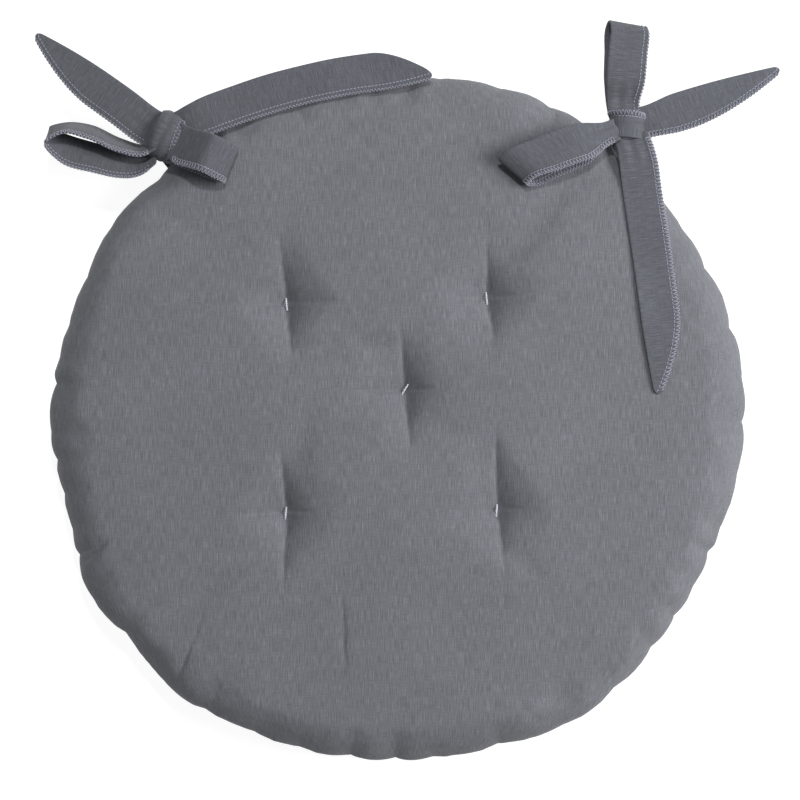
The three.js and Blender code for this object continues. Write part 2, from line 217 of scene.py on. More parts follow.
# %% Mix the cloth
def cloth_material(name, dark, light, fleck):
    """Slubby cotton. Its pattern lies flat in a UV map: U across the warp, V along it, in metres."""
    material, graph, shader = new_material(name, 0.88, 0.12)
    flat = add_node(graph, "UVMap", {"uv_map": "flat"}).outputs["UV"]
    warp = stretched_noise(graph, flat, (2300, 120, 1), 3)
    weft = stretched_noise(graph, flat, (150, 2000, 1), 2)
    slub = stretched_noise(graph, flat, (1900, 160, 1), 1)
    cloud = stretched_noise(graph, flat, (16, 16, 1), 3)
    weave = add_node(graph, "Math", {"operation": "MULTIPLY_ADD"})
    graph.links.new(weft, weave.inputs[0])
    weave.inputs[1].default_value = 0.4
    graph.links.new(warp, weave.inputs[2])
    tone = remap(graph, weave.outputs[0], 0.55, 0.88, 0, 1)
    colour = mix_colours(graph, tone, dark, light)
    colour = mix_colours(graph, remap(graph, slub, 0.62, 0.76, 0, 0.4), colour, fleck)
    shade = remap(graph, cloud, 0.3, 0.7, 0.94, 1.05)
    grey = add_node(graph, "CombineColor", Red=shade, Green=shade, Blue=shade)
    colour = mix_colours(graph, 1.0, colour, grey.outputs[0], "MULTIPLY")
    graph.links.new(colour, shader.inputs["Base Color"])
    add_bump(graph, shader, weave.outputs[0], 0.22 * MM)
    return material


cover_cloth = cloth_material(
    "cover_cloth", (0.104, 0.107, 0.12), (0.162, 0.167, 0.186), (0.27, 0.28, 0.36)
)
strap_cloth = cloth_material(
    "strap_cloth", (0.07, 0.073, 0.085), (0.108, 0.113, 0.13), (0.19, 0.2, 0.27)
)
print("cloth made:", cover_cloth.name, strap_cloth.name)

# %% [markdown]
# ## The threads
# Overlock thread is spun polyester, lilac-grey and lighter than the cloth. The five tacks are sewn in
# a waxed thread that is nearly white. Both get a fine fuzz from noise on object coordinates. The foam
# is pale, with open cells, and shows only if the cover is taken off.


# %% Mix the threads and the foam
def thread_material(name, dark, light, roughness):
    """Spun thread: two tones in short fibres, with a fine bump."""
    material, graph, shader = new_material(name, roughness, 0.3)
    place = add_node(graph, "TexCoord").outputs["Object"]
    fibre = stretched_noise(graph, place, (2600, 2600, 2600), 2)
    graph.links.new(mix_colours(graph, fibre, dark, light), shader.inputs["Base Color"])
    add_bump(graph, shader, fibre, 0.06 * MM)
    return material


def foam_material():
    """Open-cell foam: round pits in a pale cream, each pit darkened towards its middle with painted
    shade.
    """
    material, graph, shader = new_material("foam", 0.95, 0.0)
    place = add_node(graph, "TexCoord").outputs["Object"]
    cells = add_node(graph, "TexVoronoi", Vector=place, Scale=900.0)
    pits = remap(graph, cells.outputs["Distance"], 0.1, 0.6, 0, 1)
    # the darker cream in the middle of each pit is painted shade, where the bump sinks it
    cream = mix_colours(graph, pits, (0.5, 0.45, 0.3), (0.8, 0.75, 0.6))
    graph.links.new(cream, shader.inputs["Base Color"])
    add_bump(graph, shader, pits, 0.4 * MM)
    return material


def floor_material():
    """A pale matt floor with a glow of its own, like a light table, so that its shadows are faint."""
    material, _, shader = new_material("floor", 0.9, 0.0)
    shader.inputs["Base Color"].default_value = (0.28, 0.28, 0.28, 1)
    shader.inputs["Emission Color"].default_value = (1, 1, 1, 1)
    shader.inputs["Emission Strength"].default_value = 0.9
    return material


overlock_thread = thread_material("overlock_thread", (0.18, 0.185, 0.225), (0.43, 0.44, 0.53), 0.7)
seam_thread = thread_material("seam_thread", (0.14, 0.145, 0.17), (0.24, 0.25, 0.29), 0.7)
tuft_thread = thread_material("tuft_thread", (0.42, 0.44, 0.5), (0.7, 0.72, 0.8), 0.5)
foam = foam_material()
floor.data.materials.append(floor_material())
print("threads made:", overlock_thread.name, seam_thread.name, tuft_thread.name)

# %% [markdown]
# ## Working on one piece at a time
# Blender's operators act on whatever is selected, so each piece starts by clearing the selection.
# Reading and writing all of a mesh's points at once, as one array, makes shaping by formula quick.


# %% Write the piece helpers
def select_only(piece):
    """Make one piece the only thing that the next operator acts on."""
    bpy.ops.object.select_all(action="DESELECT")
    piece.select_set(True)
    bpy.context.view_layer.objects.active = piece


def name_new_piece(name, material):
    """Name the piece that was just added and give it its material."""
    piece = bpy.context.object
    piece.name = name
    piece.data.name = name
    piece.data.materials.clear()
    piece.data.materials.append(material)
    return piece


def apply_modifier(piece, kind, **settings):
    """Add a modifier, set it and apply it."""
    select_only(piece)
    modifier = piece.modifiers.new(kind.lower(), kind)
    for key, value in settings.items():
        setattr(modifier, key, value)
    bpy.ops.object.modifier_apply(modifier=modifier.name)


def get_points(piece):
    """The mesh's points as an array of rows x, y, z."""
    points = np.empty(len(piece.data.vertices) * 3)
    piece.data.vertices.foreach_get("co", points)
    return points.reshape(-1, 3)


def set_points(piece, points):
    """Move all of the mesh's points at once."""
    piece.data.vertices.foreach_set("co", np.ascontiguousarray(points).ravel())
    piece.data.update()


def get_normals(piece):
    """The way each point faces, as an array of rows x, y, z."""
    normals = np.empty(len(piece.data.vertices) * 3)
    piece.data.vertices.foreach_get("normal", normals)
    return normals.reshape(-1, 3)


def face_outwards_and_smooth(piece):
    """Turn every face outwards and shade the piece smooth."""
    select_only(piece)
    bpy.ops.object.mode_set(mode="EDIT")
    bpy.ops.mesh.select_all(action="SELECT")
    bpy.ops.mesh.normals_make_consistent(inside=False)
    bpy.ops.object.mode_set(mode="OBJECT")
    bpy.ops.object.shade_smooth()


def smooth_step(values, low, high):
    """0 below low, 1 above high and an S-curve between. It works on arrays."""
    share = np.clip((values - low) / (high - low), 0, 1)
    return share * share * (3 - 2 * share)


# %% [markdown]
# ## Sizes of the pad
# Everything comes from the CAD nodes: the rim's radius and the seam's height from the seam thread, the
# top from the top panel, and each tack's place from its own thread.

# %% Read the pad's sizes from the frame
seam_low, seam_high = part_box("rim_seam_thread")
RIM_RADIUS = seam_high.x
SEAM_Z = (seam_low.z + seam_high.z) / 2
TOP_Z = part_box("top_panel")[1].z
TUFT_NAMES = ("back_left", "back_right", "centre", "front_left", "front_right")
tuft_boxes = {name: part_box("tuft_thread_" + name) for name in TUFT_NAMES}
tufts = {name: (low + high) / 2 for name, (low, high) in tuft_boxes.items()}
TUFT_TOP_Z = max(high.z for low, high in tuft_boxes.values())
TUFT_UNDER_Z = min(low.z for low, high in tuft_boxes.values())
print("rim radius", round(RIM_RADIUS / MM), "mm, top at", round(TOP_Z / MM), "mm")

# %% [markdown]
# ## The rim seam's outline
# The two panels are sewn together a little too full, so the seam puckers: between one pucker and the
# next, the cloth bulges out in a small scallop. No two scallops are the same. They are drawn once from
# a seeded list of random widths, so that the cover, its creases and the seam's stitches all agree.
# A few wide bulges and flats, listed below, make the whole outline a little uneven.

# %% Draw the puckers
SCALLOP_WIDTHS = (0.075, 0.2)  # the narrowest and the widest, in radians
LAST_SCALLOP = 0.12  # the round is closed once less than this is left of it
PUCKER_RANGE = (0.25, 1.0)  # the shallowest and the deepest
rng = random.Random(11)
pucker_angles = [0.0]
while pucker_angles[-1] < 2 * math.pi - LAST_SCALLOP:
    pucker_angles.append(pucker_angles[-1] + rng.uniform(*SCALLOP_WIDTHS))
pucker_angles[-1] = 2 * math.pi
pucker_depths = [rng.uniform(*PUCKER_RANGE) for angle in pucker_angles]
pucker_depths[-1] = pucker_depths[0]
PUCKER_ANGLES = np.array(pucker_angles)
PUCKER_DEPTHS = np.array(pucker_depths)
SCALLOP_HEIGHT = 2.6 * MM
RIM_SWELL = 1.3 * MM  # how far the whole rim stands out, before the bulges below
OUTLINE_BULGES = (
    # angle in degrees from +X, half width in degrees, how far out in millimetres
    (5, 24, 3.8),
    (22, 10, 1.6),
    (65, 22, 7.5),
    (85, 14, 1.5),
    (122, 10, 3.5),
    (145, 7, 2.6),
    (155, 26, 2.6),
    (179, 9, 3.6),
    (209, 8, 6.2),
    (231, 7, 4.2),
    (275, 22, -3.2),
    (300, 9, 2.2),
    (334, 20, -3.6),
)


def scallop(angles, sharpness):
    """0 at each pucker and up to 1 between two. A low sharpness gives narrow puckers."""
    angles = np.mod(angles, 2 * math.pi)
    index = np.searchsorted(PUCKER_ANGLES, angles, side="right") - 1
    index = np.clip(index, 0, len(PUCKER_ANGLES) - 2)
    start, end = PUCKER_ANGLES[index], PUCKER_ANGLES[index + 1]
    share = (angles - start) / (end - start)
    depth = PUCKER_DEPTHS[index] * (1 - share) + PUCKER_DEPTHS[index + 1] * share
    return 1 - depth * (1 - np.sin(math.pi * share) ** sharpness)


def outline_bulge(angles):
    """How far the whole rim stands out or in at each angle."""
    total = np.full_like(angles, RIM_SWELL)
    for middle, half_width, amount in OUTLINE_BULGES:
        away = np.degrees(np.mod(angles - math.radians(middle) + math.pi, 2 * math.pi) - math.pi)
        total += amount * MM * np.exp(-((away / half_width) ** 2))
    return total


print("puckers round the rim:", len(PUCKER_ANGLES) - 1)

# %% [markdown]
# ## The cover
# The cover is a closed bag round a foam disc. It starts as a cylinder with rounded shoulders and is
# remeshed into an even net of small squares, because a cloth simulation needs squares of one size. The
# start is a few millimetres smaller than the real pad, to leave room to swell.

# %% Start the cover
SWELL_ROOM = 2.6 * MM
VOXEL = 4.0 * MM
SHOULDER = RIM_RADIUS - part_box("foam_core")[1].x
SEAM_ROOM = 1.5 * MM  # how much smaller the starting net is than the rim
CLOTH_REST = 0.3 * MM  # how far the underside's cloth lies above the floor

cover_height = TOP_Z - 2 * SWELL_ROOM
bpy.ops.object.select_all(action="DESELECT")
bpy.ops.mesh.primitive_cylinder_add(
    vertices=128, radius=RIM_RADIUS - SEAM_ROOM, depth=cover_height, location=(0, 0, TOP_Z / 2)
)
cover = name_new_piece("pad_cover", cover_cloth)
bpy.ops.object.transform_apply(location=True)
apply_modifier(
    cover, "BEVEL", width=SHOULDER, segments=4, profile=0.38, limit_method="ANGLE",
    angle_limit=math.radians(40),
)
apply_modifier(cover, "REMESH", mode="VOXEL", voxel_size=VOXEL)
print("cover net:", len(cover.data.vertices), "points")

# %% [markdown]
# ## Pulling the tacks down
# Each tack's thread pulls the top and the underside towards each other. The cloth gives way most along
# its warp, so the hollow is a star with four points, twice as long from back to front as across.
# Points at a tack and along the rim seam are held still in the simulation by a vertex group, and all
# others are free to swell.


# %% Pull in the tacks and mark what is held
HOLLOW_ACROSS = 6.5 * MM
HOLLOW_ALONG = 13 * MM
HELD_AT_TACK = 4 * MM
HELD_IN_FROM_RIM = 6 * MM
HELD_BESIDE_SEAM = 3 * MM
TOP_FLOOR_Z = TUFT_TOP_Z - 1.0 * MM  # a hollow's floor lies just under its thread
UNDER_FLOOR_Z = TUFT_UNDER_Z + 1.2 * MM


def across_and_along(points, place):
    """How far each point is from a place along X, along Y and in a straight line."""
    across = points[:, 0] - place.x
    along = points[:, 1] - place.y
    return across, along, np.hypot(across, along)


def pull_tacks(points, reach=1.0):
    """Draw the top down and the underside up at each tack, in a four-pointed hollow."""
    moved = points.copy()
    upper = points[:, 2] > TOP_Z / 2
    for place in tufts.values():
        across, along, _ = across_and_along(points, place)
        fade_across = (np.abs(across) / (HOLLOW_ACROSS * reach)) ** 0.9
        fade_along = (np.abs(along) / (HOLLOW_ALONG * reach)) ** 1.1
        pull = np.exp(-fade_across - fade_along)
        goal = np.where(upper, TOP_FLOOR_Z, UNDER_FLOOR_Z)
        moved[:, 2] += (goal - points[:, 2]) * pull
    return moved


set_points(cover, pull_tacks(get_points(cover)))
start_points = get_points(cover)
held = np.zeros(len(start_points))
for place in tufts.values():
    held[across_and_along(start_points, place)[2] < HELD_AT_TACK] = 1
rim_distance = np.hypot(start_points[:, 0], start_points[:, 1])
at_seam = abs(start_points[:, 2] - SEAM_Z) < HELD_BESIDE_SEAM
at_seam &= rim_distance > RIM_RADIUS - HELD_IN_FROM_RIM
held[at_seam] = 1
held_group = cover.vertex_groups.new(name="held")
held_group.add([int(index) for index in np.flatnonzero(held)], 1.0, "REPLACE")
print("held points:", int(held.sum()))

# %% [markdown]
# ## Filling the cover
# Air pressure inside the bag stands in for the foam's push. Gravity is off, because the foam carries
# the cloth. The cloth is given a little more area than it started with, so it finds its own small
# slack folds. After twenty frames each point's travel is capped, and the result is kept as the mesh.
# Washed cotton over firm foam shows few small wrinkles, so the net is relaxed a little afterwards, and
# the tacks are pulled down once more, over half the distance.

# %% Simulate the cover
MOST_TRAVEL = 3.2 * MM
LAST_FRAME = 20


def swell(piece):
    """Run the cloth for twenty frames and keep the result, with every point's travel capped."""
    cloth = piece.modifiers.new("cloth", "CLOTH")
    cloth.settings.quality = 5
    cloth.settings.mass = 0.3
    cloth.settings.tension_stiffness = 12
    cloth.settings.compression_stiffness = 12
    cloth.settings.shear_stiffness = 6
    cloth.settings.bending_stiffness = 3.0
    cloth.settings.shrink_min = -0.012
    cloth.settings.use_pressure = True
    cloth.settings.uniform_pressure_force = 4
    cloth.settings.vertex_group_mass = "held"
    cloth.settings.effector_weights.gravity = 0
    cloth.point_cache.frame_start = 1
    cloth.point_cache.frame_end = LAST_FRAME
    start = get_points(piece)
    scene = bpy.context.scene
    for number in range(1, LAST_FRAME + 1):
        scene.frame_set(number)
    graph = bpy.context.evaluated_depsgraph_get()
    swollen = np.array([list(vertex.co) for vertex in piece.evaluated_get(graph).data.vertices])
    piece.modifiers.remove(cloth)
    scene.frame_set(1)
    travel = swollen - start
    length = np.linalg.norm(travel, axis=1, keepdims=True)
    travel *= np.minimum(1, MOST_TRAVEL / np.maximum(length, 1e-9))
    set_points(piece, start + travel)
    furthest, mean = (round(value / MM, 1) for value in (length.max(), length.mean()))
    print("cloth travelled up to", furthest, "mm, mean", mean)


swell(cover)
apply_modifier(cover, "SMOOTH", factor=0.5, iterations=10)
set_points(cover, pull_tacks(get_points(cover), reach=0.5))
apply_modifier(cover, "SUBSURF", levels=1, render_levels=1)
print("cover after subdivision:", len(cover.data.polygons), "faces")

# %% [markdown]
# ## Creases
# Cloth that is tacked down gathers into sharp creases, finer than the simulation's net. A crease is
# steep on one side, where the cloth nearly folds over, and rises gently on the other, so that light
# from the side shows a bright line beside a dark slope. The long creases at the tacks run along the
# warp, with shallower ones across it. A few more lie near the front edge and behind the back tacks.

# %% List the creases
TACK_CREASES = {
    # how far each tack's four creases reach in millimetres, and how far the first two swing to the east
    "back_left": dict(north=36, south=30, west=20, east=32, north_swing=-4, south_swing=3),
    "back_right": dict(north=32, south=26, west=20, east=20, north_swing=0, south_swing=4),
    "centre": dict(north=34, south=32, west=34, east=20, north_swing=-2, south_swing=3),
    "front_left": dict(north=36, south=44, west=28, east=18, north_swing=-3, south_swing=-1),
    "front_right": dict(north=44, south=36, west=14, east=18, north_swing=-1, south_swing=4),
}
FREE_CREASES = (
    # start x, y, end x, y and depth in millimetres; the gentle side is on the right of the way
    (-32, -90, -30, -162, 2.0),
    (-109, -103, -128, -160, 1.8),
    (-97, -126, -106, -168, 0.8),
    (50, 134, 52, 100, 0.9),
    (60, -86, 62, -122, 0.9),
    (-160, -66, -184, -86, 1.8),
    (-158, -90, -182, -100, 1.0),
    (119, -118, 134, -152, 0.7),
    (80, 152, 93, 188, 1.6),
    (93, 146, 106, 180, 1.1),
    (-52, 160, -60, 186, 0.7),
)
STEEP_SIDE = 1.3 * MM
GENTLE_SIDE = 8.0 * MM
LONG_CREASE = 4.8 * MM  # how deep a tack's creases are, along the warp and across it
CROSS_CREASE = 3.6 * MM


def along_and_beside(points, start, end):
    """Each point's share of the way along a line, and how far to the line's right it lies."""
    line = np.array(end) - np.array(start)
    length = np.linalg.norm(line)
    from_start = points[:, :2] - np.array(start)
    share = from_start @ line / length**2
    return share, (from_start[:, 0] * line[1] - from_start[:, 1] * line[0]) / length


def crease_profile(side, gentle):
    """1 on a crease's floor, falling off fast on its left and slowly on its right."""
    return np.where(side < 0, np.exp(side / STEEP_SIDE), np.exp(-side / gentle))


def free_crease(points, start, end):
    """A crease that fades at both ends."""
    share, side = along_and_beside(points, start, end)
    fade = smooth_step(share, -0.05, 0.35) * (1 - smooth_step(share, 0.5, 1.05))
    return fade * crease_profile(side, GENTLE_SIDE * (0.35 + 0.65 * fade))


def tack_crease(points, tack, end):
    """A crease that is deepest at its tack, with its steep side on the west or the south."""
    share, side = along_and_beside(points, tack, end)
    east, north = end[0] - tack[0], end[1] - tack[1]
    if north < -abs(east) or east > abs(north):
        side = -side
    fade = smooth_step(share, -0.12, 0.06) * (1 - smooth_step(share, 0.1, 1.25))
    return fade * crease_profile(side, GENTLE_SIDE * np.clip(1 - 0.8 * share, 0.2, 1))


def crease_drop(points):
    """How far each point of the top is pressed down by all the creases."""
    drop = np.zeros(len(points))
    for name, reach in TACK_CREASES.items():
        x, y = tufts[name].x, tufts[name].y
        for end, depth in (
            ((x + reach["north_swing"] * MM, y + reach["north"] * MM), LONG_CREASE),
            ((x + reach["south_swing"] * MM, y - reach["south"] * MM), LONG_CREASE),
            ((x - reach["west"] * MM, y - 1 * MM), CROSS_CREASE),
            ((x + reach["east"] * MM, y + 1 * MM), CROSS_CREASE),
        ):
            drop = np.maximum(drop, depth * tack_crease(points, (x, y), end))
    for x0, y0, x1, y1, depth in FREE_CREASES:
        start, end = (x0 * MM, y0 * MM), (x1 * MM, y1 * MM)
        drop = np.maximum(drop, depth * MM * free_crease(points, start, end))
    on_top = smooth_step(points[:, 2], SEAM_Z, SEAM_Z + 6 * MM)
    return drop * on_top


# %% [markdown]
# ## Pressing the creases in
# The net is too coarse for a sharp fold, so faces near a crease are split into four first. Then every
# point of the top goes down by the depth of the creases at its place.


# %% Press in the creases
CREASED_FROM = 0.35 * MM  # faces pressed down further than this are split


def split_faces(piece, wanted):
    """Split each wanted face into four."""
    select_only(piece)
    bpy.ops.object.mode_set(mode="EDIT")
    bpy.ops.mesh.select_mode(type="FACE")
    bpy.ops.mesh.select_all(action="DESELECT")
    bpy.ops.object.mode_set(mode="OBJECT")
    piece.data.polygons.foreach_set("select", wanted)
    bpy.ops.object.mode_set(mode="EDIT")
    bpy.ops.mesh.subdivide(number_cuts=1)
    bpy.ops.object.mode_set(mode="OBJECT")


middles = np.empty(len(cover.data.polygons) * 3)
cover.data.polygons.foreach_get("center", middles)
split_faces(cover, crease_drop(middles.reshape(-1, 3)) > CREASED_FROM)
creased = get_points(cover)
creased[:, 2] -= crease_drop(creased)
set_points(cover, creased)
print("cover after creasing:", len(cover.data.polygons), "faces")

# %% [markdown]
# ## Gathering the rim
# Last, the rim takes its puckers. Near the seam every point moves out or in along its own radius, by
# the outline that the puckers draw. Higher up the rim the scallops fade, and only the deepest puckers
# reach the top as short radial folds. A shallow groove marks the seam itself.


# %% Gather the rim
SHOULDER_LIFT = 1.6 * MM  # how far the foam's crisp top edge holds the cloth up
CLOTH_CEILING = TOP_Z + 0.2 * MM  # the straps lie just above this
CEILING_EASE = 1 * MM  # the cloth starts to level off this far below its ceiling
PUCKER_REACH = 11 * MM  # above and below the seam
SEAM_GROOVE = 0.9 * MM
SEAM_GROOVE_HALF_WIDTH = 1.6 * MM
TOP_FOLD_DEPTH = 1.4 * MM
MEAN_SCALLOP = 0.72  # a rim point at this share of a scallop's height stays where it is


def gather_rim(piece):
    """Scallop the rim, run the deep puckers up as folds and sink the seam."""
    points = get_points(piece)
    radius = np.hypot(points[:, 0], points[:, 1])
    angles = np.arctan2(points[:, 1], points[:, 0])
    outward = points[:, :2] / np.maximum(radius, 1e-6)[:, None]

    def towards_rim(far, near):
        """0 up to `far` millimetres inside the rim, and 1 from `near` millimetres on."""
        return smooth_step(radius, RIM_RADIUS - far * MM, RIM_RADIUS - near * MM)

    rim = towards_rim(44, 4)
    from_seam = np.abs(points[:, 2] - SEAM_Z)
    near_seam = np.exp(-((from_seam / PUCKER_REACH) ** 2))
    sharp = scallop(angles, 0.75)
    soft = scallop(angles, 1.6)
    push = rim * outline_bulge(angles)
    push += rim**3 * near_seam * SCALLOP_HEIGHT * (sharp - MEAN_SCALLOP)
    push += rim**2 * (1 - near_seam) * 0.5 * SCALLOP_HEIGHT * (soft - MEAN_SCALLOP)
    push -= rim**3 * SEAM_GROOVE * np.exp(-((from_seam / SEAM_GROOVE_HALF_WIDTH) ** 2))
    points[:, :2] += outward * push[:, None]
    upper = smooth_step(points[:, 2], SEAM_Z, TOP_Z - 4 * MM)
    points[:, 2] -= upper * towards_rim(26, 11) * TOP_FOLD_DEPTH * (1 - soft)
    shoulder = towards_rim(60, 16) * (1 - towards_rim(14, 3))
    points[:, 2] += upper * shoulder * SHOULDER_LIFT
    height = points[:, 2]
    over = np.maximum(height - (CLOTH_CEILING - CEILING_EASE), 0)
    height = np.minimum(height, CLOTH_CEILING - CEILING_EASE) + over / (1 + over / MM)
    points[:, 2] = np.maximum(height, CLOTH_REST)
    set_points(piece, points)


gather_rim(cover)
print("cover gathered, top at", round(get_points(cover)[:, 2].max() / MM, 1), "mm")

# %% [markdown]
# ## The cover's flat pattern
# The weave is drawn on the flat cloth, as it was before it was sewn. So each point of the cover needs
# its place in the flat panel, which is stored as a UV map in metres.


# %% Lay out the cover's pattern and hand it over
def write_flat_pattern(piece, flat):
    """Store each point's place in the flat cloth as the UV map that the weave reads."""
    corners = np.empty(len(piece.data.loops), dtype=int)
    piece.data.loops.foreach_get("vertex_index", corners)
    layer = piece.data.uv_layers.active or piece.data.uv_layers.new()
    layer.name = "flat"
    layer.data.foreach_set("uv", np.ascontiguousarray(flat[corners]).ravel())


def cover_pattern(points):
    """Each panel laid flat: the rim's wall is swung out to carry on beyond the flat middle."""
    radius = np.hypot(points[:, 0], points[:, 1])
    wall = smooth_step(radius, RIM_RADIUS - 1.3 * SHOULDER, RIM_RADIUS - 0.3 * SHOULDER)
    down = np.where(points[:, 2] > SEAM_Z, TOP_Z - points[:, 2], points[:, 2])
    stretch = 1 + wall * down / np.maximum(radius, SHOULDER)
    return points[:, :2] * stretch[:, None]


write_flat_pattern(cover, cover_pattern(get_points(cover)))
select_only(cover)
bpy.ops.object.shade_smooth()
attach(cover, "pad")
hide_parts("top_panel", "bottom_panel")
cover_points = get_points(cover)
print("cover from", (cover_points.min(0) / MM).round(1))
print("cover to", (cover_points.max(0) / MM).round(1))

# %% [markdown]
# ## The foam
# The foam disc fills the cover. It is hidden, but the model holds it, so it is made here as a copy of
# the cover, drawn in along its normals by a little more than the cloth's thickness and thinned to
# fewer faces.

# %% Make the foam from the cover
FOAM_INSET = 2.2 * MM
FACES_KEPT = 0.12  # nobody sees the foam, so it needs few faces
select_only(cover)
bpy.ops.object.duplicate()
foam_disc = name_new_piece("foam_disc", foam)
for key in list(foam_disc.keys()):
    del foam_disc[key]
foam_disc.parent = None
foam_disc.vertex_groups.clear()
set_points(foam_disc, get_points(foam_disc) - get_normals(foam_disc) * FOAM_INSET)
apply_modifier(foam_disc, "DECIMATE", ratio=FACES_KEPT)
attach(foam_disc, "pad")
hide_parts("foam_core")
print("foam faces:", len(foam_disc.data.polygons))

# %% [markdown]
# ## Thread
# A thread is a curve with a round bevel. It is made from a list of points, given its thickness, and
# turned into a mesh so that it can ride on the CAD bodies like any other piece.


# %% Write the thread helper
def make_thread(name, runs, radius, material, resolution=1):
    """One mesh from several runs of points, each a round thread."""
    data = bpy.data.curves.new(name, "CURVE")
    data.dimensions = "3D"
    data.bevel_depth = radius
    data.bevel_resolution = resolution
    data.use_fill_caps = True
    for run in runs:
        spline = data.splines.new("POLY")
        spline.points.add(len(run) - 1)
        spline.points.foreach_set("co", [value for point in run for value in (*point, 1.0)])
    thread = bpy.data.objects.new(name, data)
    bpy.context.scene.collection.objects.link(thread)
    select_only(thread)
    bpy.ops.object.convert(target="MESH")
    thread = name_new_piece(name, material)
    bpy.ops.object.shade_smooth()
    return thread


# %% [markdown]
# ## The rim seam's stitches
# The seam is sewn with the bag inside out, so only the short top of each stitch shows in the groove
# between the panels, where the puckers open it. The stitches follow the cover's own points.

# %% Sew the rim seam
STITCH_PITCH = 4.4 * MM
STITCH_SHARE = 0.62  # of the pitch that the thread shows
STITCH_SINK = 0.25 * MM
SEAM_BAND = 2.2 * MM  # cover points this near the seam's height give its outline
stitch_count = int(2 * math.pi * RIM_RADIUS / STITCH_PITCH)
cover_radii = np.hypot(cover_points[:, 0], cover_points[:, 1])
on_seam = np.abs(cover_points[:, 2] - SEAM_Z) < SEAM_BAND
on_seam &= cover_radii > RIM_RADIUS - 20 * MM
seam_angles = np.arctan2(cover_points[on_seam, 1], cover_points[on_seam, 0])
order = np.argsort(seam_angles)
seam_angles = seam_angles[order]
seam_radii = cover_radii[on_seam][order]


def seam_place(angle):
    """A point in the seam's groove, a little sunk into the cloth."""
    wrapped = (angle + math.pi) % (2 * math.pi) - math.pi
    radius = np.interp(wrapped, seam_angles, seam_radii) - STITCH_SINK
    return Vector((radius * math.cos(angle), radius * math.sin(angle), SEAM_Z))


stitches = []
for number in range(stitch_count):
    angle = 2 * math.pi * number / stitch_count
    span = 2 * math.pi * STITCH_SHARE / stitch_count
    stitches.append([seam_place(angle + share * span) for share in (0, 0.33, 0.67, 1)])
rim_stitches = make_thread("rim_seam_stitches", stitches, 0.35 * MM, seam_thread)
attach(rim_stitches, "pad")
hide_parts("rim_seam_thread")
print("rim stitches:", stitch_count)

# %% [markdown]
# ## The tacks
# Each tack is one short bar of doubled thread on the top, its twin underneath, and two legs through
# the foam. The two plies twist round each other, which shows as a fine rope.


# %% Sew the tacks
def twisted_run(middle_points, twist_radius, turns, phase):
    """A ply that winds round a line of points."""
    run = []
    count = len(middle_points)
    for number, point in enumerate(middle_points):
        angle = phase + 2 * math.pi * turns * number / (count - 1)
        run.append(point + Vector((math.cos(angle), 0, math.sin(angle))) * twist_radius)
    return run


PLY_RADIUS = 0.3 * MM
TWISTS = 2.5  # turns of the plies along one tack
LINE_STEPS = 12
TOP_BOW = 0.9 * MM  # how far a tack's ends dip below its middle
UNDER_BOW = 0.5 * MM
VISIBLE_SHARE = 0.86  # of the CAD thread's length
for name in TUFT_NAMES:
    low, high = tuft_boxes[name]
    place = tufts[name]
    span = Vector((high.x - low.x, high.y - low.y, 0)) * 0.5 * VISIBLE_SHARE
    if name == "centre":
        span = span * 1.25  # this one is sewn on a slant, over a little more cloth
    else:
        span.x = 0.3 * MM * (-1 if "back" in name else 1)
    # the plies stand a little proud of the hollows' floors
    top_z, under_z = TUFT_TOP_Z + 0.5 * MM, TUFT_UNDER_Z - 0.2 * MM
    runs = []
    for height, bow in ((top_z, TOP_BOW), (under_z, -UNDER_BOW)):
        line = []
        for number in range(LINE_STEPS + 1):
            share = number / LINE_STEPS * 2 - 1
            line.append(Vector((place.x, place.y, height - bow * share**2)) + span * share)
        for phase in (0, math.pi):
            runs.append(twisted_run(line, PLY_RADIUS * 0.9, TWISTS, phase))
    for share in (-0.96, 0.96):
        leg = place + span * share
        foot, head = under_z + 0.3 * MM, top_z - 0.8 * MM
        runs.append([Vector((leg.x, leg.y, foot)), Vector((leg.x, leg.y, head))])
    tack = make_thread("tack_" + name, runs, PLY_RADIUS, tuft_thread)
    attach(tack, "pad")
    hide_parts("tuft_thread_" + name)
print("tacks sewn:", len(TUFT_NAMES))

# %% [markdown]
# ## How a strap is laid
# A strap is a strip of cloth folded double, with one folded edge and one open edge that is overlocked.
# It is easiest to make as it is made in life: flat first, then laid along a path. The flat strip is a
# grid with u along it and v across it. The path gives, for every u, a middle point, the way across and
# the way out of the cloth. The same path lays the overlock thread, so thread and cloth always agree.


# %% Write the path
PATH_SAMPLES = 240


